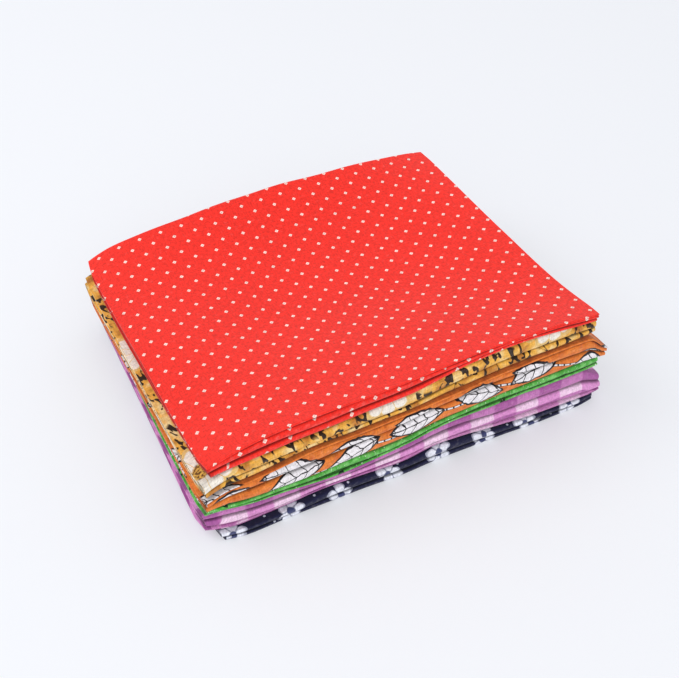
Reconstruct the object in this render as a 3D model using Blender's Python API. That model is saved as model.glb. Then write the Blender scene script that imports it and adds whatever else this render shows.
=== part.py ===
"""Fat quarter bundle: six cotton quarters, each folded back and forth, stacked on a flat surface.

Metres, +X along the long side, +Y from the front folds to the back, +Z up. The origin lies under the
middle of the bundle, on the surface that it rests on. The tables below are in millimetres.

Each cloth is one sheet. Its section across the long side runs from one free edge to a fold and back again,
layer under layer, and the section is lofted along the long side. A pressed layer is as thick as SHEET. Where
the stack is taller than its pressed layers, the spare height thickens the layers and opens the folds.
"""

from collections import namedtuple

import bpy
import numpy as np

MM = 0.001

BUNDLE_NAME = "fat_quarter_bundle"
SHEET = 1.0
PRESSED_GAP = 0.2
CLOTH_GAP = 0.3
SPARE_IN_SHEETS = 0.5
HALF_WIDTH = 70.0

# Height of the stack on lines across the long side: at the front edge, halfway to the middle, in the
# middle, halfway to the back and at the back edge. The middle sags and the left end lies lower.
Line = namedtuple("Line", "x front near_front middle near_back back")
HEIGHT_LINES = (
    Line(-90, 34.5, 33.2, 33.2, 33.2, 33.2),
    Line(-72, 38.0, 34.3, 33.4, 33.8, 36.5),
    Line(-48, 42.5, 37.6, 33.8, 35.7, 42.0),
    Line(-24, 44.5, 38.7, 33.4, 36.8, 45.2),
    Line(0, 45.5, 39.7, 33.4, 37.6, 46.8),
    Line(24, 47.5, 41.0, 34.3, 38.6, 47.2),
    Line(48, 48.7, 41.7, 36.4, 40.2, 46.8),
    Line(72, 47.2, 42.2, 40.8, 42.8, 44.8),
    Line(90, 45.2, 42.7, 43.8, 44.6, 44.0),
)
HEIGHT_PLACES = (-70.0, -42.0, 0.0, 42.0, 70.0)
ACROSS = np.array([-72.0, -58.0, -40.0, -20.0, 0.0, 20.0, 40.0, 58.0, 72.0])
ALONG = np.array([line.x for line in HEIGHT_LINES], float)

# From the top of the stack down. first_edge is the side where the top layer's free edge lies: -1 in front,
# 1 behind.
Cloth = namedtuple("Cloth", "node colour layers first_edge")
CLOTHS = (
    Cloth("red_dotted_quarter", (0.86, 0.05, 0.03), 5, -1),
    Cloth("ochre_flowered_quarter", (0.62, 0.33, 0.05), 4, 1),
    Cloth("orange_leaf_quarter", (0.70, 0.20, 0.03), 5, -1),
    Cloth("green_sprigged_quarter", (0.07, 0.42, 0.09), 3, 1),
    Cloth("lilac_checked_quarter", (0.52, 0.16, 0.55), 5, 1),
    Cloth("navy_flowered_quarter", (0.01, 0.01, 0.05), 4, 1),
)

# Each cloth's share of the spare height at five places from left to right, in the same order.
Spare = namedtuple("Spare", "far_left left middle right far_right")
SPARES = (
    Spare(0.00, 0.25, 0.06, 0.00, 0.00),
    Spare(0.38, 0.20, 0.24, 0.20, 0.05),
    Spare(0.22, 0.47, 0.47, 0.36, 0.38),
    Spare(0.00, 0.03, 0.02, 0.02, 0.10),
    Spare(0.36, 0.01, 0.18, 0.37, 0.46),
    Spare(0.04, 0.04, 0.03, 0.05, 0.01),
)
SPARE_PLACES = (-72.0, -36.0, 0.0, 36.0, 72.0)

# Where each cloth ends, in the same order: its left and right edge at the front and at the back, its front
# folds at the left and at the right, and its back folds.
Reach = namedtuple("Reach", "left_front left_back right_front right_back front_left front_right back")
REACHES = (
    Reach(-77.0, -81.5, 79.0, 78.0, -66.0, -67.0, 68.5),
    Reach(-79.5, -84.8, 80.0, 79.0, -66.5, -66.0, 67.0),
    Reach(-79.0, -84.0, 84.0, 81.0, -67.0, -68.0, 68.0),
    Reach(-79.0, -83.0, 82.0, 80.0, -66.0, -67.0, 66.5),
    Reach(-79.5, -82.5, 84.5, 81.5, -67.5, -67.5, 70.0),
    Reach(-72.5, -81.0, 81.0, 79.5, -70.0, -67.5, 67.5),
)

# How the two short sides of each cloth end, in the same order: the share of its spare height that is left
# there, where it droops onto the cloth below, and how far its rounded corners draw in.
Ends = namedtuple("Ends", "left_spare right_spare left_corner right_corner")
ENDS = (
    Ends(1.0, 1.0, 2.0, 1.0),
    Ends(0.6, 1.0, 1.5, 2.0),
    Ends(0.5, 0.2, 1.5, 1.0),
    Ends(1.0, 0.5, 1.5, 1.5),
    Ends(0.4, 0.7, 4.0, 1.5),
    Ends(1.0, 1.0, 2.0, 2.0),
)
CORNER_START = 56.0

OUTER_TURN = (45.0, 0.0, -45.0)
INNER_TURN = (0.0,)


def smooth(places, values, at):
    """A smooth curve through the values: cubic pieces whose slopes are those of the neighbouring points."""
    places = np.array(places, float)
    values = np.array(values, float)
    slopes = np.gradient(values, places)
    piece = np.clip(np.searchsorted(places, at) - 1, 0, len(places) - 2)
    width = places[piece + 1] - places[piece]
    part = np.clip((at - places[piece]) / width, 0.0, 1.0)
    rise = values[piece + 1] - values[piece]
    start_bend = slopes[piece] * width - rise
    end_bend = rise - slopes[piece + 1] * width
    bend = (1.0 - part) * start_bend + part * end_bend
    return values[piece] + part * rise + part * (1.0 - part) * bend


def on_grid(grid, x, y):
    """Reads a grid of values, one row for each of ALONG and one column for each of ACROSS, evenly between."""
    row = np.clip(np.searchsorted(ALONG, x) - 1, 0, len(ALONG) - 2)
    column = np.clip(np.searchsorted(ACROSS, y) - 1, 0, len(ACROSS) - 2)
    u = (x - ALONG[row]) / (ALONG[row + 1] - ALONG[row])
    v = (y - ACROSS[column]) / (ACROSS[column + 1] - ACROSS[column])
    front = (1.0 - u) * grid[row, column] + u * grid[row + 1, column]
    back = (1.0 - u) * grid[row, column + 1] + u * grid[row + 1, column + 1]
    return (1.0 - v) * front + v * back


def pressed_height(cloth):
    return cloth.layers * SHEET + (cloth.layers - 1) * PRESSED_GAP


def stack_top():
    """The top of the whole stack on the grid."""
    return np.array([smooth(HEIGHT_PLACES, line[1:], ACROSS) for line in HEIGHT_LINES])


def spare_height():
    """The stack's height above its pressed layers and the gaps between the cloths, on the grid."""
    pressed = sum(pressed_height(cloth) for cloth in CLOTHS)
    return stack_top() - pressed - (len(CLOTHS) - 1) * CLOTH_GAP


def layer_faces(cloth, shares, top):
    """Top and bottom of each layer on the grid, given the cloth's top. Part of the cloth's spare height
    thickens its layers, and the rest opens its folds: a front fold towards the front, a back fold behind."""
    spare = spare_height() * np.interp(ALONG, SPARE_PLACES, shares)[:, None]
    thickness = SHEET + SPARE_IN_SHEETS * spare / cloth.layers
    fold_side = [cloth.first_edge * (-1) ** fold for fold in range(1, cloth.layers)]
    weights = [1.0 + side * ACROSS / ACROSS[-1] for side in fold_side]
    faces = []
    for layer in range(cloth.layers):
        faces.append((top, top - thickness))
        if layer < cloth.layers - 1:
            opening = (1.0 - SPARE_IN_SHEETS) * spare * weights[layer] / sum(weights)
            top = top - thickness - PRESSED_GAP - opening
    return faces


def end_of_layer(cloth, layer, side):
    """The layer that this one is folded to at that side, -1 in front or 1 behind, or None at a free edge."""
    first_side = -cloth.first_edge
    joined = layer + 1 if side == first_side * (-1) ** layer else layer - 1
    return joined if 0 <= joined < cloth.layers else None


# A cut across the long side: where it crosses the front and the back, how much of the cloth's spare height is
# left there, and how far along X its two corners draw in.
Cut = namedtuple("Cut", "x_front x_back spare corner")


def cuts(reach, ends):
    """The cuts along a cloth: its left side, each line of the height table, and its right side."""
    left = Cut(reach.left_front, reach.left_back, ends.left_spare, ends.left_corner)
    right = Cut(reach.right_front, reach.right_back, ends.right_spare, -ends.right_corner)
    return [left] + [Cut(x, x, 1.0, 0.0) for x in ALONG[1:-1]] + [right]


class Section:
    """One cloth's outline at a cut across its long side."""

    def __init__(self, cloth, reach, faces, cut):
        self.cloth = cloth
        self.faces = faces
        self.cut = cut
        front = np.interp(cut.x_front, (ALONG[1], ALONG[-2]), (reach.front_left, reach.front_right))
        self.edges = {-1: front, 1: reach.back}

    def x(self, y):
        past_corner = np.clip((np.abs(y) - CORNER_START) / (HALF_WIDTH - CORNER_START), 0.0, 1.0)
        straight = np.interp(y, (-HALF_WIDTH, HALF_WIDTH), (self.cut.x_front, self.cut.x_back))
        return straight + self.cut.corner * past_corner**2

    def height(self, layer, face, y):
        """Height of a layer's top (0) or bottom (1). At a short side part of the spare height is lost."""
        x = self.x(y)
        sheets_below = self.cloth.layers - layer - face
        gaps_below = self.cloth.layers - layer - 1
        pressed = on_grid(self.faces[-1][1], x, y) + sheets_below * SHEET + gaps_below * PRESSED_GAP
        return pressed + self.cut.spare * (on_grid(self.faces[layer][face], x, y) - pressed)

    def turn_start(self, layer, side):
        """Where the flat of a layer ends at that side: at the free edge, or half a fold's height before it."""
        edge = self.edges[side]
        other = end_of_layer(self.cloth, layer, side)
        if other is None:
            return edge
        upper, lower = sorted((layer, other))
        return edge - side * (self.height(upper, 0, edge) - self.height(lower, 1, edge)) / 2.0

    def flat(self, layer, face, direction):
        """One face of a layer, from one turn to the other, towards the front (-1) or the back (1)."""
        ends = (self.turn_start(layer, -1), self.turn_start(layer, 1))
        y = np.concatenate(([ends[0]], ACROSS[1:-1], [ends[1]]))[::direction]
        return list(zip(y, self.height(layer, face, y)))

    def turn(self, layer, side, face, angles):
        """Half an ellipse round a fold, from a face of a layer to the other face of the layer below it."""
        start = self.turn_start(layer, side)
        high = self.height(layer, face, start)
        low = self.height(layer + 1, 1 - face, start)
        reach = abs(self.edges[side] - start) if face == 0 else (high - low) / 2.0
        bends = np.radians(angles)
        y = start + side * reach * np.cos(bends)
        z = (high + low) / 2.0 + (high - low) / 2.0 * np.sin(bends)
        return list(zip(y, z))

    def chain(self, face):
        """One side of the sheet from its first free edge to its last, starting on top (0) or beneath (1)."""
        points = []
        direction = -self.cloth.first_edge
        for layer in range(self.cloth.layers):
            points += self.flat(layer, face, direction)
            if layer < self.cloth.layers - 1:
                angles = OUTER_TURN if face == 0 else INNER_TURN
                points += self.turn(layer, direction, face, angles)
            direction = -direction
            face = 1 - face
        return points

    def outline(self):
        """Up one side of the sheet and down the other, always turning the same way, as points in space."""
        y, z = np.array(self.chain(0) + self.chain(1)[::-1])[::self.cloth.first_edge].T
        return np.stack([self.x(y), y, z], axis=1)


def loft(name, outlines):
    """A closed mesh through the outlines. Each patch is split the same way across X and Y, so that facing
    layers keep their distance."""
    count = len(outlines[0])
    rises = outlines[1][:, 1] < np.roll(outlines[1][:, 1], -1)
    triangles = []
    for station in range(len(outlines) - 1):
        for index in range(count):
            after = (index + 1) % count
            here, here_after = station * count + index, station * count + after
            there, there_after = here + count, here_after + count
            if rises[index]:
                triangles += [(here, here_after, there_after), (here, there_after, there)]
            else:
                triangles += [(here, here_after, there), (here_after, there_after, there)]
    first_end = tuple(range(count))[::-1]
    last_end = tuple(range((len(outlines) - 1) * count, len(outlines) * count))
    mesh = bpy.data.meshes.new(name)
    mesh.from_pydata(np.concatenate(outlines) * MM, [], triangles + [first_end, last_end])
    mesh.validate()
    return mesh


def cotton(name, colour):
    """Plain matt cotton of one colour."""
    material = bpy.data.materials.new(name)
    material.use_nodes = True
    shader = material.node_tree.nodes["Principled BSDF"]
    shader.inputs["Base Color"].default_value = (*colour, 1.0)
    shader.inputs["Roughness"].default_value = 0.9
    shader.inputs["Metallic"].default_value = 0.0
    material.diffuse_color = (*colour, 1.0)
    return material


def clear_scene():
    for item in list(bpy.data.objects):
        bpy.data.objects.remove(item, do_unlink=True)


def build():
    clear_scene()
    bundle = bpy.data.collections.new(BUNDLE_NAME)
    bpy.context.scene.collection.children.link(bundle)
    top = stack_top()
    for cloth, shares, reach, ends in zip(CLOTHS, SPARES, REACHES, ENDS):
        faces = layer_faces(cloth, shares, top)
        outlines = [Section(cloth, reach, faces, cut).outline() for cut in cuts(reach, ends)]
        mesh = loft(cloth.node, outlines)
        quarter = bpy.data.objects.new(cloth.node, mesh)
        quarter.data.materials.append(cotton(cloth.node.replace("quarter", "cotton"), cloth.colour))
        bundle.objects.link(quarter)
        top = faces[-1][1] - CLOTH_GAP


build()
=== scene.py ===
"""Fat quarter bundle: six printed cottons, each folded back and forth into a flat rectangle and stacked.

Sizes are in millimetres until a mesh is made. X runs along the long side of the folded cloths, Y from their
front folds to the back, and Z up.
"""
import math
from collections import namedtuple

import bpy
import numpy as np
from mathutils import Matrix, Vector


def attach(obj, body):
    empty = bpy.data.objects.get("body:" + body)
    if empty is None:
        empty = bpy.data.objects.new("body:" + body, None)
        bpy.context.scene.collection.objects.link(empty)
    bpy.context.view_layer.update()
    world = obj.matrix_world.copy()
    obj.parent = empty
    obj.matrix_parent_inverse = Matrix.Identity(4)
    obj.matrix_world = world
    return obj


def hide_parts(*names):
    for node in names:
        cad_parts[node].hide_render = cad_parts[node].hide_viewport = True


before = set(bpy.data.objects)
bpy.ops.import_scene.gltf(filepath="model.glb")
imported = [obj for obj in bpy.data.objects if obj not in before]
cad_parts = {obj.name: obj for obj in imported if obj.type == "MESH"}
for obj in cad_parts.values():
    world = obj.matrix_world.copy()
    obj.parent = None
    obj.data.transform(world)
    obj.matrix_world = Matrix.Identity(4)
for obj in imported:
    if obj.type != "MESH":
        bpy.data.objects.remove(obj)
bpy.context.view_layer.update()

MM = 0.001

# The gaps between two cloths and between two leaves, a ply's thickness, how much fuller a leaf is than
# its plies, the thickest that a leaf gets before its fold stands open, and the furthest that a fold
# reaches past its flats.
CLOTH_GAP = 0.3
LEAF_GAP = 0.06
PLY = 0.24
LOFT = 1.12
MOST_LEAF = 1.25
MOST_REACH = 2.3

# Points of the mesh: columns along X, and steps along a hidden flat, the flat on top, a fold and a
# hairpin.
COLUMNS = 92
FLAT_STEPS = 12
TOP_STEPS = 72
TURN_STEPS = 9
HAIRPIN_STEPS = 4

# Height of the stack on lines across the long side, from the front edge to the back edge.
Line = namedtuple("Line", "x front near_front middle near_back back")
HEIGHT_LINES = (
    Line(-90, 32.0, 33.2, 33.2, 33.2, 33.2),
    Line(-72, 37.6, 34.3, 33.4, 33.9, 37.4),
    Line(-48, 42.5, 37.6, 33.8, 35.7, 42.0),
    Line(-24, 44.5, 38.7, 33.4, 36.8, 45.2),
    Line(0, 45.5, 39.7, 33.4, 37.6, 46.8),
    Line(24, 47.5, 41.0, 34.3, 38.6, 47.2),
    Line(48, 48.7, 41.7, 36.4, 40.2, 46.8),
    Line(72, 47.2, 42.2, 40.8, 42.8, 44.8),
    Line(90, 45.2, 42.7, 43.8, 44.6, 44.0),
)
HEIGHT_PLACES = np.array([-70.0, -42.0, 0.0, 42.0, 70.0])

# Height of each cloth's underside along the front, as the front folds show it. The navy one lies flat.
Front = namedtuple("Front", "x red ochre orange green lilac")
FRONTS = (
    Front(-90, 25.5, 17.0, 14.5, 12.4, 3.6),
    Front(-72, 31.2, 23.2, 15.7, 13.2, 3.6),
    Front(-60, 32.9, 24.7, 14.3, 11.7, 3.4),
    Front(-48, 34.0, 26.8, 14.2, 11.4, 4.3),
    Front(-36, 34.9, 28.5, 14.8, 10.9, 5.8),
    Front(-24, 36.1, 29.0, 15.8, 10.9, 5.8),
    Front(-12, 37.0, 29.6, 16.2, 11.8, 5.6),
    Front(0, 38.3, 30.4, 17.2, 13.6, 5.3),
    Front(12, 40.8, 32.0, 19.4, 16.1, 7.3),
    Front(24, 43.5, 32.9, 20.9, 17.6, 6.8),
    Front(36, 45.0, 34.2, 22.1, 18.0, 5.0),
    Front(48, 45.5, 35.0, 22.7, 18.4, 4.2),
    Front(60, 45.2, 35.8, 23.3, 18.3, 4.0),
    Front(72, 43.9, 36.6, 23.6, 18.3, 3.7),
    Front(90, 41.6, 35.8, 23.2, 18.4, 3.8),
)

# From the top of the stack down: leaves folded back and forth, the side of the top leaf's free edge (-1
# front, 1 behind), and plies in each leaf.
Cloth = namedtuple("Cloth", "name leaves free_side plies")
CLOTHS = (
    Cloth("red_dotted", 5, -1, 2),
    Cloth("ochre_flowered", 4, 1, 3),
    Cloth("orange_leaf", 5, -1, 2),
    Cloth("green_sprigged", 3, 1, 3),
    Cloth("lilac_checked", 5, 1, 2),
    Cloth("navy_flowered", 4, 1, 3),
)
PLY_SHARES = {2: (0.75, 0.25), 3: (0.5, 1 / 6, 5 / 6)}

# What share of a cloth's height at the front each front fold takes, from the top, along the long side.
# Past the outermost places the shares stay as they are at SHARE_LIMIT.
SHARE_LIMIT = 80.0
SHARE_PLACES = (-72.0, -36.0, 0.0, 36.0, 72.0)
FRONT_SHARES = (
    ((0.14, 0.12, 0.13, 0.24, 0.24), (0.46, 0.50, 0.49, 0.38, 0.38), (0.40, 0.38, 0.38, 0.38, 0.38)),
    ((0.62, 0.70, 0.74, 0.60, 0.62), (0.38, 0.30, 0.26, 0.40, 0.38)),
    ((0.10, 0.09, 0.09, 0.09, 0.12), (0.40, 0.42, 0.30, 0.26, 0.44), (0.50, 0.49, 0.61, 0.65, 0.44)),
    ((0.70, 0.74, 0.72, 0.70, 0.66), (0.30, 0.26, 0.28, 0.30, 0.34)),
    ((0.44, 0.40, 0.42, 0.46, 0.44), (0.44, 0.44, 0.44, 0.40, 0.44), (0.12, 0.16, 0.14, 0.14, 0.12)),
    ((0.60, 0.62, 0.62, 0.60, 0.58), (0.40, 0.38, 0.38, 0.40, 0.42)),
)

# How far each front fold steps back from the cloth's front line, at the left and at the right.
FRONT_STEPS = (
    ((0.8, 0.6), (0.3, 0.3), (0.0, 0.0)),
    ((0.0, 0.0), (0.6, 0.1)),
    ((0.3, 0.4), (0.0, 0.1), (-0.3, -0.2)),
    ((0.0, 0.0), (0.1, 0.1)),
    ((0.6, 0.4), (0.0, 0.0), (0.2, 0.2)),
    ((0.2, 0.1), (0.0, 0.0)),
)

# Each cloth's share of the spare height, away from the front, at five places from left to right.
SPARES = (
    (0.00, 0.25, 0.06, 0.00, 0.00),
    (0.38, 0.20, 0.24, 0.20, 0.05),
    (0.22, 0.47, 0.47, 0.36, 0.38),
    (0.00, 0.03, 0.02, 0.02, 0.10),
    (0.36, 0.01, 0.18, 0.37, 0.46),
    (0.04, 0.04, 0.03, 0.05, 0.01),
)
SPARE_PLACES = (-72.0, -36.0, 0.0, 36.0, 72.0)

# A leaf of the solids and the gap under it, where the stack is pressed.
PRESSED_LEAF = 1.0
PRESSED_GAP = 0.2

# Where each cloth ends, and how its two short sides end: the share of its height lost there as it droops,
# and how far its rounded corners draw in.
Reach = namedtuple("Reach", "left_front left_back right_front right_back front_left front_right back")
REACHES = (
    Reach(-75.6, -82.5, 79.5, 78.0, -66.5, -67.4, 68.5),
    Reach(-77.2, -85.0, 80.8, 79.0, -66.6, -66.7, 67.0),
    Reach(-78.0, -84.0, 86.5, 81.0, -67.3, -68.0, 68.0),
    Reach(-78.3, -82.0, 84.2, 80.0, -66.8, -67.3, 66.5),
    Reach(-79.3, -81.7, 87.0, 81.5, -67.3, -67.5, 70.0),
    Reach(-74.5, -81.0, 85.0, 79.5, -70.0, -67.9, 67.5),
)
Ends = namedtuple("Ends", "left_droop right_droop left_corner right_corner")
ENDS = (
    Ends(0.12, 0.05, 2.0, 1.0),
    Ends(0.25, 0.20, 1.5, 2.0),
    Ends(0.20, 0.72, 1.5, 1.0),
    Ends(0.05, 0.10, 1.5, 1.5),
    Ends(0.25, 0.48, 4.0, 1.5),
    Ends(0.10, 0.15, 2.0, 2.0),
)

# What share of a rounded corner draws the front or back edge in there. At each cloth's front left corner
# a number below 0 lets the tip reach forwards.
FRONT_LEFT_CORNERS = (0.0, -0.7, -0.3, 0.2, 0.65, 0.65)
BACK_LEFT_CORNER = 1.2
RIGHT_CORNERS = 0.65

# A corner starts this far from the middle of the short side, and takes this share of the long side.
CORNER_START = 56.0
ROUNDED = 0.07
HALF_WIDTH = 70.0

# The droop of a short side starts this far inside its end, and is full this far past it, left and right.
DROOP_LENGTH = 11.0
PAST_LEFT = 2.0
PAST_RIGHT = 1.0

# Every other back fold steps in by this much, and the top leaf's left side covers the leaves under it by
# this.
BACK_STEP = 0.9
TOP_LEAF_COVERS = 0.7

# Where the leaves leave their even spacing for the heights of the folds, and have them in full.
FRONT_OPENS = (-14.0, -64.0)
BACK_OPENS = (14.0, 66.0)

# Roundness of a fold: powers of the cosine and the sine round it (1 is an ellipse), and how much of a
# fold's reach the thickness of its leaf can take from the inner plies.
FOLD_FRONT_POWER = 0.65
FOLD_SIDE_POWER = 0.95
MOST_INNER = 0.92

# How far the inside ply and the lower ply of three stop short, so that a hairpin fits in.
INSIDE_TRIM = 1.6
LOWER_TRIM = 0.6

# Painted shade in a crease lies within this depth of the edge and fades over the next number. The pair
# after that says how it fades where the sheet turns to face the front or the back. The last ones are the
# painted shade left at a cloth's top, the painted shade on the red cloth's short sides, and from where to
# where under the top leaf it sets in.
CREASE_DEPTH = 4.0
CREASE_FADE = 2.5
CREASE_TURN = (1.25, 1.7)
TOP_CREASE_SHADE = 0.45
SIDE_CREASE_SHADE = 0.6
COVERED_FROM = 0.4
COVERED_OVER = 0.8


def smooth_step(start, end, at):
    """From 0 at the start to 1 at the end, level at both."""
    part = np.clip((at - start) / (end - start), 0.0, 1.0)
    return part * part * (3.0 - 2.0 * part)


def curve_weights(places, at):
    """For each point, the weights of the values at the places: cubic pieces, each with the slopes that
    the neighbouring values give."""
    places = np.asarray(places, float)
    values = np.eye(len(places))
    slopes = np.gradient(values, places, axis=0)
    piece = np.clip(np.searchsorted(places, at) - 1, 0, len(places) - 2)
    width = (places[piece + 1] - places[piece])[..., None]
    part = np.clip((at - places[piece])[..., None] / width, 0.0, 1.0)
    rise = values[piece + 1] - values[piece]
    start_bend = slopes[piece] * width - rise
    end_bend = rise - slopes[piece + 1] * width
    return values[piece] + part * rise + part * (1.0 - part) * ((1.0 - part) * start_bend + part * end_bend)


def along(places, values, at):
    """A smooth curve through the values at the places."""
    return curve_weights(places, at) @ np.asarray(values, float)


HEIGHTS = np.array([line[1:] for line in HEIGHT_LINES], float)
HEIGHT_X = np.array([line.x for line in HEIGHT_LINES], float)
FRONT_X = np.array([front.x for front in FRONTS], float)
FRONT_HEIGHTS = np.array([front[1:] for front in FRONTS], float)


def stack_top(x, y):
    """The top of the stack: the table, smooth both ways, with a few long shallow ripples."""
    table = np.einsum("...i,ij,...j", curve_weights(HEIGHT_X, x), HEIGHTS, curve_weights(HEIGHT_PLACES, y))
    long_ripple = 0.10 * np.sin(x / 11.0 + y / 23.0) * np.sin(y / 17.0 - x / 31.0 + 0.8)
    short_ripple = 0.05 * np.sin(x / 6.1 - y / 14.0 + 2.0) * np.cos(y / 21.0)
    return table + long_ripple + short_ripple


def pressed_height(cloth):
    """A cloth's height where its leaves lie on each other with the smallest gap."""
    return cloth.leaves * PRESSED_LEAF + (cloth.leaves - 1) * PRESSED_GAP


def boundary(index, x, y):
    """Height between two cloths: number 0 is the top of the stack. Away from the front each cloth has its
    pressed height and its share of what is left. Towards the front the folds' own heights take over."""
    top = stack_top(x, y)
    if index == 0:
        return top
    if index == len(CLOTHS):
        return np.zeros_like(top)
    pressed = [pressed_height(cloth) for cloth in CLOTHS]
    spare = top - sum(pressed) - (len(CLOTHS) - 1) * CLOTH_GAP
    share = sum(np.interp(x, SPARE_PLACES, SPARES[above]) for above in range(index))
    body = top - sum(pressed[:index]) - index * CLOTH_GAP - share * spare
    front_top = stack_top(x, np.full_like(x, -HALF_WIDTH))
    front = top * along(FRONT_X, FRONT_HEIGHTS[:, index - 1], x) / front_top
    weight = smooth_step(*FRONT_OPENS, y)
    return body + weight * (front - body)


def fold_groups(cloth, side):
    """The leaves joined by each fold at that side, from the top. A free edge is a group of one."""
    first = 1 if side == cloth.free_side else 2
    starts = [0] + list(range(first, cloth.leaves, 2))
    return [list(range(start, end)) for start, end in zip(starts, starts[1:] + [cloth.leaves])]


def leaf_depths(cloth, groups, shares, height):
    """Depth of each leaf's top under the cloth's top, and its thickness, where its folds have these
    shares of the height. A fold that is taller than two leaves stands open between them."""
    tops, thicknesses = [], []
    depth = np.zeros_like(height)
    for group, share in zip(groups, shares):
        room = share * height
        thickness = np.minimum(room / len(group) - LEAF_GAP, MOST_LEAF)
        tops.append(depth)
        thicknesses.append(thickness)
        if len(group) == 2:
            tops.append(depth + room - LEAF_GAP - thickness)
            thicknesses.append(thickness)
        depth = depth + room
    return np.array(tops), np.array(thicknesses)


class FoldedCloth:
    """One cloth: the path of its plies across the long side, worked out at every column of its length."""

    def __init__(self, index):
        self.index = index
        self.cloth = CLOTHS[index]
        self.reach = REACHES[index]
        self.ends = ENDS[index]
        self.columns = np.linspace(0.0, 1.0, COLUMNS)
        self.groups = {side: fold_groups(self.cloth, side) for side in (-1, 1)}

    def x(self, y, turns):
        """Across the cloth from its left to its right side. Both sides wander a little from leaf to leaf,
        and draw in at the corners. The top leaf of the stack covers the left side of the leaves below
        it."""
        reach = self.reach
        corner = np.clip((np.abs(y) - CORNER_START) / (HALF_WIDTH - CORNER_START), 0.0, 1.0) ** 2
        left_wander = 0.35 * np.sin(2.3 * turns + 1.7 * self.index) + 0.2 * np.sin(5.1 * turns + self.index)
        right_wander = 0.45 * np.sin(2.7 * turns + 2.9 * self.index + 1.0) + 0.25 * np.sin(4.3 * turns)
        left = np.interp(y, (-HALF_WIDTH, HALF_WIDTH), (reach.left_front, reach.left_back))
        right = np.interp(y, (-HALF_WIDTH, HALF_WIDTH), (reach.right_front, reach.right_back))
        left = left + self.ends.left_corner * corner + left_wander
        if self.index == 0:
            left = left + TOP_LEAF_COVERS * smooth_step(0.8, 1.2, turns)
        right = right - self.ends.right_corner * corner + right_wander
        return left + (right - left) * self.columns

    def edge(self, leaf, side):
        """Y of the fold or free edge of a leaf at that side, at every column, a little wavy along X."""
        number = next(n for n, group in enumerate(self.groups[side]) if leaf in group)
        turn = self.index * 1.9 + number * 2.3 + side
        slow_wave = 0.20 * np.sin(2 * np.pi * 2.3 * self.columns + turn)
        quick_wave = 0.12 * np.sin(2 * np.pi * 5.2 * self.columns + 2.0 * turn)
        wave = slow_wave + quick_wave
        left = self.ends.left_corner * np.clip(1.0 - self.columns / ROUNDED, 0.0, 1.0) ** 2
        right = self.ends.right_corner * np.clip(1.0 - (1.0 - self.columns) / ROUNDED, 0.0, 1.0) ** 2
        if side > 0:
            back = self.reach.back - BACK_STEP * (number % 2)
            return back + wave - BACK_LEFT_CORNER * left - RIGHT_CORNERS * right
        front = np.interp(self.columns, (0.0, 1.0), (self.reach.front_left, self.reach.front_right))
        step = np.interp(self.columns, (0.0, 1.0), FRONT_STEPS[self.index][number])
        return front + step + wave + FRONT_LEFT_CORNERS[self.index] * left + RIGHT_CORNERS * right

    def faces(self, x, y):
        """Height of every leaf's top at these points, and its thickness. The leaves are evenly spaced in
        the middle and go over to the heights of the front and the back folds."""
        cloth = self.cloth
        top = boundary(self.index, x, y) - (CLOTH_GAP / 2 if self.index else 0.0)
        bottom = boundary(self.index + 1, x, y) + (CLOTH_GAP / 2 if self.index < len(CLOTHS) - 1 else 0.0)
        left, right = self.reach.left_front, self.reach.right_front
        droop = self.ends.left_droop * smooth_step(left + DROOP_LENGTH, left - PAST_LEFT, x)
        droop = droop + self.ends.right_droop * smooth_step(right - DROOP_LENGTH, right + PAST_RIGHT, x)
        least = cloth.leaves * (cloth.plies * PLY * LOFT + LEAF_GAP)
        height = np.maximum((top - bottom) * (1.0 - droop), np.minimum(least, top - bottom))
        top = bottom + height
        share_x = np.clip(x, -SHARE_LIMIT, SHARE_LIMIT)
        front_shares = [along(SHARE_PLACES, share, share_x) for share in FRONT_SHARES[self.index]]
        total = sum(front_shares)
        front = leaf_depths(cloth, self.groups[-1], [share / total for share in front_shares], height)
        back_shares = [len(group) / cloth.leaves for group in self.groups[1]]
        back = leaf_depths(cloth, self.groups[1], back_shares, height)
        single_leaves = [[leaf] for leaf in range(cloth.leaves)]
        middle = leaf_depths(cloth, single_leaves, [1.0 / cloth.leaves] * cloth.leaves, height)
        to_front = smooth_step(*FRONT_OPENS, y)
        to_back = smooth_step(*BACK_OPENS, y)
        depth, thickness = (
            m + to_front * (f - m) + to_back * (b - m) for f, m, b in zip(front, middle, back)
        )
        return top - depth, thickness

    def ply_height(self, leaf, share, x, y):
        """Height at this share of the leaf's thickness under its top."""
        tops, thicknesses = self.faces(x, y)
        return tops[leaf] - share * thicknesses[leaf]

    def turn_start(self, leaf, side):
        """Where a leaf's flat ends at that side and how far its fold reaches past it."""
        edge = self.edge(leaf, side)
        group = next(group for group in self.groups[side] if leaf in group)
        if len(group) == 1:
            return edge, np.zeros_like(edge)
        x = self.x(edge, max(group))
        tops, thicknesses = self.faces(x, edge)
        height = tops[group[0]] - tops[group[1]] + thicknesses[group[1]]
        reach = np.minimum(height / 2.0, MOST_REACH)
        return edge - side * reach, reach

    def flat(self, leaf, share, steps, start_side, trims=(0.0, 0.0)):
        """A leaf's flat from one side to the other, with closer steps towards both. trims shorten it
        there, in millimetres."""
        sides = (start_side, -start_side)
        starts = [self.turn_start(leaf, side)[0] - side * trim for side, trim in zip(sides, trims)]
        part = np.linspace(0.0, 1.0, steps + 1)
        part = (part + 0.5 * (1.0 - np.cos(np.pi * part))) / 2.0
        y = starts[0] + part[:, None] * (starts[1] - starts[0])
        turns = (leaf + part)[:, None]
        x = self.x(y, turns)
        return np.stack([x, y, self.ply_height(leaf, share, x, y)], axis=-1)

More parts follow.
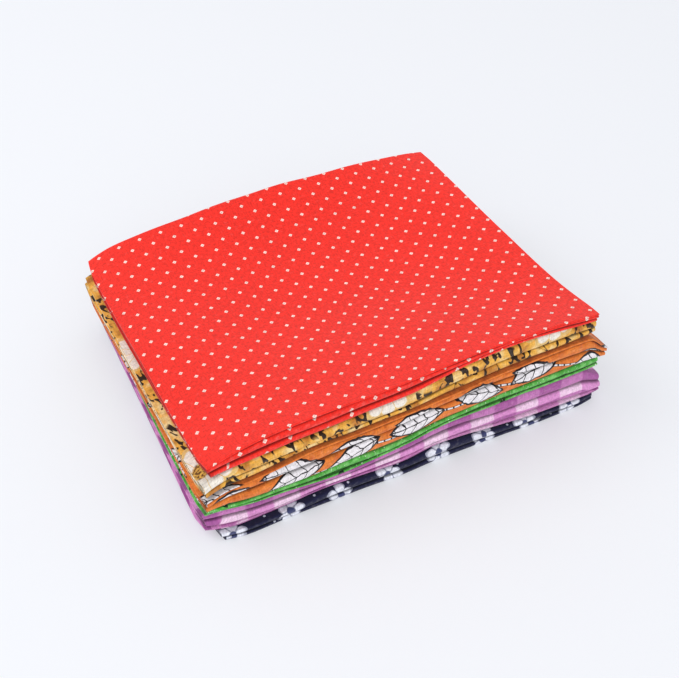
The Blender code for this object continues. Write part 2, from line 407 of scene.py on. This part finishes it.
    def turn(self, leaf, share, side):
        """The rounded fold from a leaf to the next one down: Y follows a power of the cosine and Z a
        power of the sine. Inner plies reach less far."""
        start, reach = self.turn_start(leaf, side)
        x = self.x(start, leaf + 1.0)
        tops, thicknesses = self.faces(x, start)
        high = tops[leaf] - share * thicknesses[leaf]
        low = tops[leaf + 1] - (1.0 - share) * thicknesses[leaf + 1]
        reach = reach - share * np.minimum(thicknesses[leaf], reach * MOST_INNER)
        angle = np.linspace(0.5, -0.5, TURN_STEPS + 1)[1:-1, None] * np.pi
        y = start + side * reach * np.cos(angle) ** FOLD_FRONT_POWER
        rise = np.sign(np.sin(angle)) * np.abs(np.sin(angle)) ** FOLD_SIDE_POWER
        z = (high + low) / 2.0 + (high - low) / 2.0 * rise
        return np.stack([self.x(y, leaf + 1.0), y, z], axis=-1)

    def ply(self, share, trims):
        """The whole path of one ply, from the first leaf's free edge to the last leaf's, and which of its
        points lie in the middle of each flat and each fold."""
        cloth = self.cloth
        pieces = []
        marks = {}
        side = cloth.free_side
        count = 0
        for leaf in range(cloth.leaves):
            own = share if leaf % 2 == 0 else 1.0 - share
            shown = leaf == 0 and share < 0.5 and self.index == 0
            ends = (trims[0] if leaf == 0 else 0.0, trims[1] if leaf == cloth.leaves - 1 else 0.0)
            piece = self.flat(leaf, own, TOP_STEPS if shown else FLAT_STEPS, side, ends)
            marks["flat", leaf] = count + len(piece) // 2
            pieces.append(piece)
            count += len(piece)
            side = -side
            if leaf < cloth.leaves - 1:
                piece = self.turn(leaf, own, side)
                marks["turn", leaf] = count + len(piece) // 2
                pieces.append(piece)
                count += len(piece)
        return np.concatenate(pieces), marks

    def hairpin(self, start, end, outwards):
        """A half circle between two plies' ends."""
        angle = np.linspace(0.5, -0.5, HAIRPIN_STEPS + 1)[1:-1, None, None] * np.pi
        radius = np.abs(start[..., 2:] - end[..., 2:]) / 2.0
        middle = (start + end) / 2.0
        points = middle + (start - end) / 2.0 * np.sin(angle)
        points[..., 1:2] += outwards * radius * np.cos(angle)
        return points

    def path(self):
        """The sheet's middle from end to end: one ply, a hairpin, the next ply back, and so on. Three
        plies lie as a letter is folded, so that the printed side is outside above and below. Also gives
        the point from which the print counts."""
        cloth = self.cloth
        shares = PLY_SHARES[cloth.plies]
        last_side = cloth.free_side * (-1) ** (cloth.leaves - 1) * -1
        inside, inside_marks = self.ply(shares[0], (0.0, INSIDE_TRIM if cloth.plies == 3 else 0.0))
        inside = inside[::-1]
        outer_fold = len(inside) - 1 - inside_marks["turn", 1]
        upper, marks = self.ply(shares[1], (0.0, 0.0))
        first = self.hairpin(inside[-1], upper[0], cloth.free_side)
        offset = len(inside) + len(first)
        pieces = [inside, first, upper]
        if cloth.plies == 3:
            lower = self.ply(shares[2], (LOWER_TRIM, 0.0))[0][::-1]
            pieces += [self.hairpin(upper[-1], lower[0], last_side), lower]
        if self.index == 0:
            zero = offset + marks["flat", 0]
        else:
            zero = offset + marks["turn", 0] if cloth.free_side > 0 else outer_fold
        return np.concatenate(pieces), zero


def crease_shade(folded, points, normal):
    """Painted shade: 1 deep in the creases between the folds and 0 on their faces and on the flats. The
    nearer a point lies to the front or back edge and the less it faces that way, the deeper it is in a
    crease. The top of a cloth is partly open to the light, and the top of the stack and the sheet's two
    ends have no painted shade. The red cloth's short sides get painted shade too, under its top leaf."""
    x, y, z = np.moveaxis(points, -1, 0)
    depth = np.minimum(y - y.min(axis=0), y.max(axis=0) - y)
    near = np.clip((CREASE_DEPTH - depth) / CREASE_FADE, 0.0, 1.0)
    turned = np.clip(CREASE_TURN[0] - CREASE_TURN[1] * np.abs(normal[..., 1]), 0.0, 1.0)
    top = folded.faces(x, y)[0][0]
    covered = np.clip((top - z - COVERED_FROM) / COVERED_OVER, TOP_CREASE_SHADE if folded.index else 0.0, 1.0)
    shade = near * turned * covered
    if folded.index == 0:
        shade[:, [0, -1]] = np.maximum(shade, SIDE_CREASE_SHADE * covered)[:, [0, -1]]
    shade[[0, -1]] = 0.0
    return shade


def sheet_faces(rows, columns):
    """Faces of a closed sheet between two equal grids of points, the outer one first: both sides, then
    the four rims. Also says which faces are rims."""
    outer = np.arange(rows * columns).reshape(rows, columns)
    inner = outer + rows * columns

    def quads(a, b, c, d):
        return np.stack([a, b, c, d], axis=-1).reshape(-1, 4)

    sides = [
        quads(outer[:-1, :-1], outer[1:, :-1], outer[1:, 1:], outer[:-1, 1:]),
        quads(inner[:-1, :-1], inner[:-1, 1:], inner[1:, 1:], inner[1:, :-1]),
    ]
    rims = [
        quads(outer[0, :-1], outer[0, 1:], inner[0, 1:], inner[0, :-1]),
        quads(outer[-1, 1:], outer[-1, :-1], inner[-1, :-1], inner[-1, 1:]),
        quads(outer[1:, 0], outer[:-1, 0], inner[:-1, 0], inner[1:, 0]),
        quads(outer[:-1, -1], outer[1:, -1], inner[1:, -1], inner[:-1, -1]),
    ]
    faces = np.concatenate(sides + rims)
    return faces, np.arange(len(faces)) >= len(sides[0]) * 2


def set_attribute(mesh, name, kind, values):
    """Puts numbers or vectors on the mesh's points."""
    field = "vector" if kind == "FLOAT_VECTOR" else "value"
    mesh.attributes.new(name, kind, "POINT").data.foreach_set(field, values.astype(np.float32).ravel())


def cloth_mesh(index, material):
    """A thin closed sheet: the path's surface moved half a ply out along its normal both ways, with
    narrow rims. Its cloth attribute holds millimetres along X, millimetres along the path and 1 on the
    reverse. Its fold attribute is 1 where it faces forwards or backwards, and crease holds painted shade,
    1 deep between two folds."""
    cloth = CLOTHS[index]
    folded = FoldedCloth(index)
    points, zero = folded.path()
    steps = np.linalg.norm(np.diff(points[..., 1:], axis=0), axis=-1)
    length = np.concatenate([np.zeros((1, COLUMNS)), np.cumsum(steps, axis=0)])
    along_path = length[zero] + points[zero, :, 1] * (index == 0) - length
    print_place = np.stack([points[..., 0], along_path], axis=-1)
    if cloth.free_side < 0:
        points, print_place = points[::-1], print_place[::-1]
    normal = np.cross(np.gradient(points, axis=0), np.gradient(points, axis=1))
    normal = normal / np.linalg.norm(normal, axis=-1, keepdims=True)
    # Painted shade for the creases between the folds, kept on the mesh as its crease attribute.
    crease = crease_shade(folded, points, normal)
    half_ply = normal * PLY / 2
    corners = np.concatenate([points + half_ply, points - half_ply]).reshape(-1, 3) * MM
    rows, columns = points.shape[:2]
    faces, rim = sheet_faces(rows, columns)
    mesh = bpy.data.meshes.new(cloth.name)
    mesh.from_pydata(corners, [], faces)
    mesh.attributes.new("sharp_face", "BOOLEAN", "FACE").data.foreach_set("value", rim)
    reverse = np.repeat([0.0, 1.0], rows * columns)[:, None]
    place = np.concatenate([np.tile(print_place.reshape(-1, 2), (2, 1)), reverse], axis=1)
    set_attribute(mesh, "cloth", "FLOAT_VECTOR", place)
    set_attribute(mesh, "fold", "FLOAT", np.tile(np.abs(normal[..., 1]).ravel(), 2))
    set_attribute(mesh, "crease", "FLOAT", np.tile(crease.ravel(), 2))
    mesh.materials.append(material)
    piece = bpy.data.objects.new(cloth.name, mesh)
    bpy.context.scene.collection.objects.link(piece)
    return piece


class Number:
    """A number at each point of a surface, inside a shader tree. The usual signs add Math nodes, and so
    does math, by the node's own name for the operation."""

    def __init__(self, tree, socket):
        self.tree = tree
        self.socket = socket

    def math(self, operation, *others):
        node = self.tree.nodes.new("ShaderNodeMath")
        node.operation = operation
        for socket, value in zip(node.inputs, (self, *others)):
            plug(self.tree, socket, value)
        return Number(self.tree, node.outputs[0])

    def __add__(self, other):
        return self.math("ADD", other)

    def __sub__(self, other):
        return self.math("SUBTRACT", other)

    def __mul__(self, other):
        return self.math("MULTIPLY", other)

    def __truediv__(self, other):
        return self.math("DIVIDE", other)

    def step(self, low, high):
        """From 0 at low to 1 at high, smoothly. With low above high it falls."""
        node = self.tree.nodes.new("ShaderNodeMapRange")
        node.interpolation_type = "SMOOTHSTEP"
        plug(self.tree, node.inputs["Value"], self)
        if low < high:
            node.inputs["From Min"].default_value, node.inputs["From Max"].default_value = low, high
            return Number(self.tree, node.outputs["Result"])
        node.inputs["From Min"].default_value, node.inputs["From Max"].default_value = high, low
        node.inputs["To Min"].default_value, node.inputs["To Max"].default_value = 1.0, 0.0
        return Number(self.tree, node.outputs["Result"])

    def wrap(self, period):
        """Distance from the nearest whole number of periods, from minus half a period to half a
        period."""
        return self.math("WRAP", period / 2, -period / 2)


def plug(tree, socket, value):
    """Feeds a socket from a number or colour of the tree, or sets it."""
    if isinstance(value, Number):
        tree.links.new(value.socket, socket)
    elif isinstance(value, bpy.types.NodeSocket):
        tree.links.new(value, socket)
    else:
        socket.default_value = value


def vector(tree, x, y, z=0.0):
    """A place in a pattern, from numbers of the tree or plain ones."""
    node = tree.nodes.new("ShaderNodeCombineXYZ")
    for socket, value in zip(node.inputs, (x, y, z)):
        plug(tree, socket, value)
    return node.outputs[0]


def noise(tree, place, scale, detail=2.0, distortion=0.0):
    """Soft noise from 0 to 1 with this many lumps in each millimetre."""
    node = tree.nodes.new("ShaderNodeTexNoise")
    node.inputs["Scale"].default_value = scale
    node.inputs["Detail"].default_value = detail
    node.inputs["Distortion"].default_value = distortion
    tree.links.new(place, node.inputs["Vector"])
    return Number(tree, node.outputs["Fac"])


def chance(tree, place):
    """A number from 0 to 1 that is the same all over a cell of a pattern."""
    node = tree.nodes.new("ShaderNodeTexWhiteNoise")
    node.noise_dimensions = "3D"
    tree.links.new(place, node.inputs["Vector"])
    return Number(tree, node.outputs["Value"])


def over(tree, below, above, mask):
    """Colour above laid on colour below where the mask is 1."""
    node = tree.nodes.new("ShaderNodeMix")
    node.data_type = "RGBA"
    plug(tree, node.inputs["Factor"], mask)
    plug(tree, node.inputs["A"], colour(below))
    plug(tree, node.inputs["B"], colour(above))
    return node.outputs["Result"]


def colour(value):
    """A plain colour with its fourth value. A colour of the tree stays as it is."""
    return (*value, 1.0) if isinstance(value, tuple) and len(value) == 3 else value


def group(name, inputs, outputs):
    """A new shader group with these sockets, and its input and output nodes."""
    tree = bpy.data.node_groups.new(name, "ShaderNodeTree")
    for label, kind in inputs:
        tree.interface.new_socket(label, in_out="INPUT", socket_type=kind)
    for label, kind in outputs:
        tree.interface.new_socket(label, in_out="OUTPUT", socket_type=kind)
    return tree, tree.nodes.new("NodeGroupInput"), tree.nodes.new("NodeGroupOutput")


def use(tree, shared, **fed):
    """A shared group placed in this tree, its inputs fed by name, and its outputs by name."""
    node = tree.nodes.new("ShaderNodeGroup")
    node.node_tree = shared
    for label, value in fed.items():
        plug(tree, node.inputs[label], value)
    return {socket.name: Number(tree, socket) for socket in node.outputs}


def places(tree, start):
    """The two numbers of a group's Place input."""
    split = tree.nodes.new("ShaderNodeSeparateXYZ")
    tree.links.new(start.outputs["Place"], split.inputs[0])
    return Number(tree, split.outputs["X"]), Number(tree, split.outputs["Y"])


def plain_weave():
    """Threads over and under each other: each thread is rounded across its width, and which of the two
    lies on top changes from one crossing to the next. Slubs make some threads thicker."""
    tree, start, end = group(
        "plain weave",
        [("Place", "NodeSocketVector"), ("Pitch", "NodeSocketFloat")],
        [("Height", "NodeSocketFloat"), ("Shade", "NodeSocketFloat")],
    )
    across, along_path = places(tree, start)
    pitch = Number(tree, start.outputs["Pitch"])
    u = across / pitch * math.pi
    v = along_path / pitch * math.pi
    warp = u.math("SINE").math("ABSOLUTE")
    weft = v.math("SINE").math("ABSOLUTE")
    crossing = (u.math("COSINE") * v.math("COSINE")).step(-0.4, 0.4)
    height = warp * crossing + weft * (crossing * -1.0 + 1.0)
    lengthways = noise(tree, vector(tree, across * 0.5, along_path * 1.7), scale=1.0)
    crossways = noise(tree, vector(tree, across * 1.7, along_path * 0.5), scale=1.0)
    slub = lengthways + crossways
    plug(tree, end.inputs["Height"], height + slub * 0.3)
    # Shade: painted shade in the dips between the rounded threads, plus random tone from the slubs.
    plug(tree, end.inputs["Shade"], height * 0.12 + slub * 0.70 + 0.21)
    return tree


def cloth_wear_and_shade():
    """How much dye the cloth shows, and painted shade. Tone falls in the mottling, and as painted shade in
    the creases. Fade rises on the reverse, in fine patches, and where bare fibres lift along the folds."""
    tree, start, end = group(
        "cloth wear",
        [("Place", "NodeSocketVector")]
        + [(label, "NodeSocketFloat") for label in ("Reverse", "Fold", "Crease")],
        [("Tone", "NodeSocketFloat"), ("Fade", "NodeSocketFloat")],
    )
    broad = noise(tree, start.outputs["Place"], scale=0.035, detail=3.0)
    fine = noise(tree, start.outputs["Place"], scale=0.6, detail=4.0)
    worn = Number(tree, start.outputs["Fold"]).step(0.75, 1.0) * fine.step(0.4, 0.7) * 0.05
    # Painted shade: the colour darkens deep in the creases between the folds.
    painted_crease_light = Number(tree, start.outputs["Crease"]) * -0.62 + 1.0
    mottling = broad * 0.12 + fine * 0.10 + 0.89
    plug(tree, end.inputs["Tone"], mottling * painted_crease_light)
    reverse_fade = Number(tree, start.outputs["Reverse"]) * 0.10
    plug(tree, end.inputs["Fade"], reverse_fade + fine.step(0.55, 0.8) * 0.05 + worn)
    return tree


def scattered_cells():
    """Splits the cloth into rows of cells, every other row half a cell along, and puts a motif's centre a
    little astray in each. X and Y count from it in millimetres, turned by the cell's own angle and
    wobbling like a drawn line. Chance is the cell's own number."""
    tree, start, end = group(
        "scattered cells",
        [("Place", "NodeSocketVector")]
        + [(label, "NodeSocketFloat") for label in ("Width", "Height", "Stray", "Turn", "Wobble")],
        [(label, "NodeSocketFloat") for label in ("X", "Y", "Chance")],
    )
    u, v = places(tree, start)
    width, height, stray, turn, wobble = (Number(tree, start.outputs[n]) for n in range(1, 6))
    row = (v / height).math("FLOOR")
    shifted = u / width + row * 0.5
    column = shifted.math("FLOOR")
    first, second, third = (chance(tree, vector(tree, column, row, float(layer))) for layer in range(3))
    rough = noise(tree, start.outputs["Place"], scale=0.33, detail=1.0) - 0.5
    x = (shifted - column - 0.5) * width - (first - 0.5) * stray + rough * wobble
    y = (v / height - row - 0.5) * height - (second - 0.5) * stray - rough * wobble
    angle = (third - 0.5) * turn
    cosine, sine = angle.math("COSINE"), angle.math("SINE")
    plug(tree, end.inputs["X"], x * cosine + y * sine)
    plug(tree, end.inputs["Y"], y * cosine - x * sine)
    plug(tree, end.inputs["Chance"], first)
    return tree


def blossom():
    """An open flower about X 0, Y 0: its rim swings in and out once for each petal. Petals is the whole
    flower, Rim its outer band and the lines between the petals, and Heart its middle."""
    tree, start, end = group(
        "blossom",
        [(label, "NodeSocketFloat") for label in ("X", "Y", "Radius", "Count", "Notch")],
        [(label, "NodeSocketFloat") for label in ("Petals", "Rim", "Heart")],
    )
    x, y, radius, count, notch = (Number(tree, start.outputs[n]) for n in range(5))
    distance = (x * x + y * y).math("SQRT")
    lobe = (y.math("ARCTAN2", x) * count * 0.5).math("COSINE").math("ABSOLUTE")
    rim = radius * (lobe.math("POWER", 0.6) * notch - notch + 1.0)
    petals = (distance - rim).step(0.12, -0.12)
    line = (lobe * distance).step(1.0, 0.3)
    band = (distance - rim * 0.86).step(-0.3, 0.5)
    plug(tree, end.inputs["Petals"], petals)
    plug(tree, end.inputs["Rim"], line.math("MAXIMUM", band) * petals)
    plug(tree, end.inputs["Heart"], (distance / radius).step(0.30, 0.22))
    return tree


def leaf():
    """A pointed leaf about X 0, Y 0, lengthways along X: its half width falls with the square of the
    distance from the middle. Line is its outline, its midrib and slanting side veins."""
    tree, start, end = group(
        "leaf",
        [(label, "NodeSocketFloat") for label in ("X", "Y", "Length", "Width", "Line")],
        [(label, "NodeSocketFloat") for label in ("Leaf", "Line")],
    )
    x, y, length, width, stroke = (Number(tree, start.outputs[n]) for n in range(5))
    part = x / length * 2.0
    inside = width * 0.5 * (part * part * -1.0 + 1.0) - y.math("ABSOLUTE")
    body = inside.step(-0.05, 0.05)
    outline = inside.math("ABSOLUTE") / stroke
    midrib = y.math("ABSOLUTE") / stroke
    slanted = (x + y.math("ABSOLUTE") * 0.7).math("WRAP", length * 0.1, length * -0.1)
    vein = slanted.math("ABSOLUTE") / stroke
    drawn = midrib.math("MINIMUM", vein).step(0.62, 0.38) * body
    plug(tree, end.inputs["Leaf"], body)
    plug(tree, end.inputs["Line"], outline.step(1.15, 0.75).math("MAXIMUM", drawn))
    return tree


WEAVE = plain_weave()
WEAR_AND_SHADE = cloth_wear_and_shade()
CELLS = scattered_cells()
BLOSSOM = blossom()
LEAF = leaf()


def attribute_outputs(tree, name):
    """What the mesh's own attribute of this name gives."""
    node = tree.nodes.new("ShaderNodeAttribute")
    node.attribute_name = name
    return node.outputs


THREAD_PITCH = 0.36
BARE_COTTON = (0.80, 0.77, 0.73)


def cotton(name, print_colour):
    """Printed cotton: the print's colour with painted shade between the threads and in the creases,
    mottled, on a matt weave.
    """
    material = bpy.data.materials.new(name)
    material.use_nodes = True
    tree = material.node_tree
    shader = tree.nodes["Principled BSDF"]
    split = tree.nodes.new("ShaderNodeSeparateXYZ")
    tree.links.new(attribute_outputs(tree, "cloth")["Vector"], split.inputs[0])
    u, v, reverse = (Number(tree, output) for output in split.outputs)
    place = vector(tree, u, v)
    weave = use(tree, WEAVE, Place=place, Pitch=THREAD_PITCH)
    # The crease attribute is painted shade for the creases between the folds.
    fold, crease = (Number(tree, attribute_outputs(tree, label)["Fac"]) for label in ("fold", "crease"))
    wear_and_shade = use(tree, WEAR_AND_SHADE, Place=place, Reverse=reverse, Fold=fold, Crease=crease)
    faded = over(tree, print_colour(tree, u, v), BARE_COTTON, wear_and_shade["Fade"])
    grey = tree.nodes.new("ShaderNodeCombineColor")
    for socket in grey.inputs:
        plug(tree, socket, weave["Shade"] * wear_and_shade["Tone"])
    tone = tree.nodes.new("ShaderNodeMix")
    tone.data_type = "RGBA"
    tone.blend_type = "MULTIPLY"
    tone.inputs["Factor"].default_value = 1.0
    tree.links.new(faded, tone.inputs["A"])
    tree.links.new(grey.outputs[0], tone.inputs["B"])
    tree.links.new(tone.outputs["Result"], shader.inputs["Base Color"])
    bump = tree.nodes.new("ShaderNodeBump")
    bump.inputs["Strength"].default_value = 0.4
    bump.inputs["Distance"].default_value = 0.0001
    plug(tree, bump.inputs["Height"], weave["Height"])
    tree.links.new(bump.outputs["Normal"], shader.inputs["Normal"])
    shader.inputs["Roughness"].default_value = 0.85
    shader.inputs["Sheen Weight"].default_value = 0.15
    shader.inputs["Sheen Roughness"].default_value = 0.5
    shader.inputs["Specular IOR Level"].default_value = 0.2
    return material


def red_print(tree, u, v):
    """Small off-white squares, turned on their corners and hollow, on a square lattice with one more in
    the middle of each cell. Turned by 45 degrees that is one even lattice."""
    repeat = 9.08
    repeat_along = 9.02
    skew = 0.0008
    red = (0.96, 0.028, 0.016)
    pale = (0.98, 0.78, 0.69)
    a = u / repeat - 0.579
    b = v / -repeat_along + u * skew + 0.985
    first = (a + b).wrap(1.0).math("ABSOLUTE")
    second = (a - b).wrap(1.0).math("ABSOLUTE")
    size = first.math("MAXIMUM", second) * repeat
    square = size.step(0.95, 0.78)
    heart = size.step(0.38, 0.16) * 0.7
    return over(tree, red, pale, square * (heart * -1.0 + 1.0))


def ochre_print(tree, u, v):
    """Gold, paler and deeper in soft patches, with dark brown flecks drawn out slantwise, and wide pale
    flowers of many petals edged with yellow round a seedy heart."""
    place = vector(tree, u, v)
    gold, light_gold, deep_gold = (0.90, 0.47, 0.07), (0.97, 0.74, 0.34), (0.56, 0.21, 0.03)
    dark_brown, cream, yellow = (0.028, 0.012, 0.004), (0.93, 0.87, 0.76), (0.82, 0.50, 0.09)
    seed_yellow, seed_brown = (0.78, 0.44, 0.08), (0.16, 0.06, 0.01)
    patches = noise(tree, place, scale=0.12)
    bright = over(tree, gold, light_gold, patches.step(0.50, 0.34))
    patchy = over(tree, bright, deep_gold, patches.step(0.50, 0.66))
    slant = vector(tree, u * 0.9 + v * 0.35, v * 0.45 - u * 0.15)
    crowded = noise(tree, place, scale=0.045, detail=1.0).step(0.38, 0.42)
    fleck = noise(tree, slant, scale=0.42, detail=1.0, distortion=0.8).step(0.53, 0.58) * crowded
    ground = over(tree, patchy, dark_brown, fleck)
    start = vector(tree, u + 41.0, v + 9.0)
    cell = use(tree, CELLS, Place=start, Width=66.0, Height=36.0, Stray=6.0, Turn=6.0, Wobble=1.2)
    flower = use(tree, BLOSSOM, X=cell["X"], Y=cell["Y"], Radius=13.0, Count=11.0, Notch=0.22)
    petalled = over(tree, ground, cream, flower["Petals"])
    edged = over(tree, petalled, yellow, flower["Rim"] * 0.85)
    seeds = noise(tree, place, scale=1.1).step(0.42, 0.60)
    heart = over(tree, seed_yellow, seed_brown, seeds)
    return over(tree, edged, heart, flower["Heart"])


def orange_print(tree, u, v):
    """Orange with pale leaves outlined in black, and between their rows a thin wavy stem broken into
    dashes."""
    place = vector(tree, u, v)
    orange, deep_orange = (0.84, 0.23, 0.035), (0.66, 0.14, 0.02)
    black, dash_white, leaf_white = (0.012, 0.009, 0.012), (0.88, 0.83, 0.84), (0.90, 0.86, 0.88)
    row_height = 27.0
    ground = over(tree, orange, deep_orange, noise(tree, place, scale=0.25).step(0.4, 0.7))
    wave = (u * 0.24).math("SINE") * 1.2
    stem = (v + wave - 2.5).wrap(row_height).math("ABSOLUTE")
    dash = u.wrap(2.8).math("ABSOLUTE").step(1.15, 0.95)
    dark = over(tree, ground, black, stem.step(0.62, 0.48))
    dashed = over(tree, dark, dash_white, stem.step(0.40, 0.28) * dash)
    start = vector(tree, u + 8.0, v + 11.0)
    cell = use(tree, CELLS, Place=start, Width=25.0, Height=row_height, Stray=4.0, Turn=0.6, Wobble=1.6)
    drawn = use(tree, LEAF, X=cell["X"], Y=cell["Y"], Length=22.0, Width=8.0, Line=0.45)
    leafy = over(tree, dashed, leaf_white, drawn["Leaf"])
    return over(tree, leafy, black, drawn["Line"])


def green_print(tree, u, v):
    """Mid green, paler in soft patches, with small pale flecks and sprigs of dark leaves in pairs."""
    place = vector(tree, u, v)
    green, light_green = (0.075, 0.41, 0.05), (0.19, 0.60, 0.14)
    leaf_green, line_green, fleck_green = (0.02, 0.16, 0.03), (0.006, 0.03, 0.01), (0.72, 0.88, 0.66)
    ground = over(tree, green, light_green, noise(tree, place, scale=0.3, detail=3.0).step(0.4, 0.65))
    cell = use(tree, CELLS, Place=place, Width=11.0, Height=8.0, Stray=3.0, Turn=6.0, Wobble=0.8)
    paired = cell["Y"].math("ABSOLUTE") - 1.3
    drawn = use(tree, LEAF, X=cell["X"], Y=paired, Length=5.5, Width=1.9, Line=0.28)
    some = cell["Chance"].step(0.45, 0.55)
    leafy = over(tree, ground, leaf_green, drawn["Leaf"] * some)
    lined = over(tree, leafy, line_green, drawn["Line"] * some)
    fleck = noise(tree, place, scale=1.1, detail=1.0).step(0.66, 0.72)
    return over(tree, lined, fleck_green, fleck)


def lilac_print(tree, u, v):
    """A large gingham: pale stripes ten millimetres wide each way, palest where two of them cross."""
    lilac, mid_lilac, pale_lilac = (0.43, 0.11, 0.36), (0.78, 0.31, 0.65), (0.97, 0.67, 0.87)
    repeat = 20.0
    across = (u - 32.0).wrap(repeat).math("ABSOLUTE").step(5.5, 4.5)
    upwards = (v - 10.0).wrap(repeat).math("ABSOLUTE").step(5.5, 4.5)
    striped = over(tree, lilac, mid_lilac, upwards.math("MAXIMUM", across * 0.45))
    return over(tree, striped, pale_lilac, upwards * across)


def navy_print(tree, u, v):
    """Navy with white five-petalled flowers in rows and small white dots between them."""
    navy, dot_white, petal_white = (0.010, 0.011, 0.046), (0.72, 0.75, 0.88), (0.86, 0.87, 0.96)
    rim_navy, heart_navy = (0.06, 0.07, 0.18), (0.05, 0.06, 0.16)
    start = vector(tree, u - 1.9, v + 7.5)
    cell = use(tree, CELLS, Place=start, Width=20.1, Height=15.0, Stray=4.0, Turn=6.0, Wobble=1.6)
    flower = use(tree, BLOSSOM, X=cell["X"], Y=cell["Y"], Radius=5.2, Count=5.0, Notch=0.5)
    plain = vector(tree, u, v)
    spot = use(tree, CELLS, Place=plain, Width=6.7, Height=5.0, Stray=3.4, Turn=0.0, Wobble=0.0)
    near = (spot["X"] * spot["X"] + spot["Y"] * spot["Y"]).step(0.30, 0.14)
    dotted = over(tree, navy, dot_white, near * spot["Chance"].step(0.5, 0.45))
    petalled = over(tree, dotted, petal_white, flower["Petals"])
    lined = over(tree, petalled, rim_navy, flower["Rim"] * 0.6)
    return over(tree, lined, heart_navy, flower["Heart"])


cottons = {
    "red_dotted": cotton("red cotton", red_print),
    "ochre_flowered": cotton("ochre cotton", ochre_print),
    "orange_leaf": cotton("orange cotton", orange_print),
    "green_sprigged": cotton("green cotton", green_print),
    "lilac_checked": cotton("lilac cotton", lilac_print),
    "navy_flowered": cotton("navy cotton", navy_print),
}


def floor():
    """A plain pale floor. Its own faint even light keeps the shadow beside the cloths soft."""
    mesh = bpy.data.meshes.new("floor")
    size = 12.0
    corners = [(-size, -size, 0), (size, -size, 0), (size, size, 0), (-size, size, 0)]
    mesh.from_pydata(corners, [], [(0, 1, 2, 3)])
    material = bpy.data.materials.new("pale floor")
    material.use_nodes = True
    shader = material.node_tree.nodes["Principled BSDF"]
    shader.inputs["Base Color"].default_value = (0.56, 0.57, 0.59, 1.0)
    shader.inputs["Roughness"].default_value = 0.7
    shader.inputs["Specular IOR Level"].default_value = 0.2
    shader.inputs["Emission Color"].default_value = (0.96, 0.96, 1.0, 1.0)
    shader.inputs["Emission Strength"].default_value = 0.36
    mesh.materials.append(material)
    ground = bpy.data.objects.new("floor", mesh)
    bpy.context.scene.collection.objects.link(ground)
    return ground


LENS = 53.02
EYE = (-124.2, -284.7, 282.7)
SIGHT = (0.3089, 0.6872, -0.6575)
ROLL_DEGREES = -1.25


def camera():
    """The photograph's view: its place, its line of sight and a slight roll."""
    data = bpy.data.cameras.new("camera")
    data.sensor_width = 36.0
    data.lens = LENS
    data.clip_start = 0.01
    data.clip_end = 20.0
    sight = Vector(SIGHT).normalized()
    level = sight.cross(Vector((0.0, 0.0, 1.0))).normalized()
    upright = level.cross(sight)
    roll = math.radians(ROLL_DEGREES)
    right = math.cos(roll) * level + math.sin(roll) * upright
    up = right.cross(sight)
    eye = bpy.data.objects.new("camera", data)
    turned = Matrix((right, up, -sight)).transposed().to_4x4()
    eye.matrix_world = Matrix.Translation(Vector(EYE) * MM) @ turned
    bpy.context.scene.collection.objects.link(eye)
    bpy.context.scene.camera = eye


def light(name, place, size, power):
    """A round soft light, turned towards the middle of the cloths."""
    data = bpy.data.lights.new(name, "AREA")
    data.shape = "DISK"
    data.size = size
    data.energy = power
    lamp = bpy.data.objects.new(name, data)
    lamp.location = place
    lamp.rotation_mode = "QUATERNION"
    lamp.rotation_quaternion = (Vector((0.0, 0.0, 0.02)) - Vector(place)).to_track_quat("-Z", "Y")
    bpy.context.scene.collection.objects.link(lamp)


def studio():
    """A pale even surround, a soft light from the back left and another from the front."""
    world = bpy.data.worlds.new("studio")
    world.use_nodes = True
    surround = world.node_tree.nodes["Background"]
    surround.inputs["Color"].default_value = (0.95, 0.97, 1.0, 1.0)
    surround.inputs["Strength"].default_value = 0.82
    bpy.context.scene.world = world
    light("window", place=(-0.7, 0.35, 0.9), size=0.8, power=3.2)
    light("front fill", place=(-0.3, -1.0, 0.6), size=0.9, power=2.6)
    bpy.context.scene.view_settings.view_transform = "Standard"


camera()
studio()
ground = floor()
for index in reversed(range(len(CLOTHS))):
    name = CLOTHS[index].name
    piece = cloth_mesh(index, cottons[name])
    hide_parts(name + "_quarter")
    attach(piece, "root")
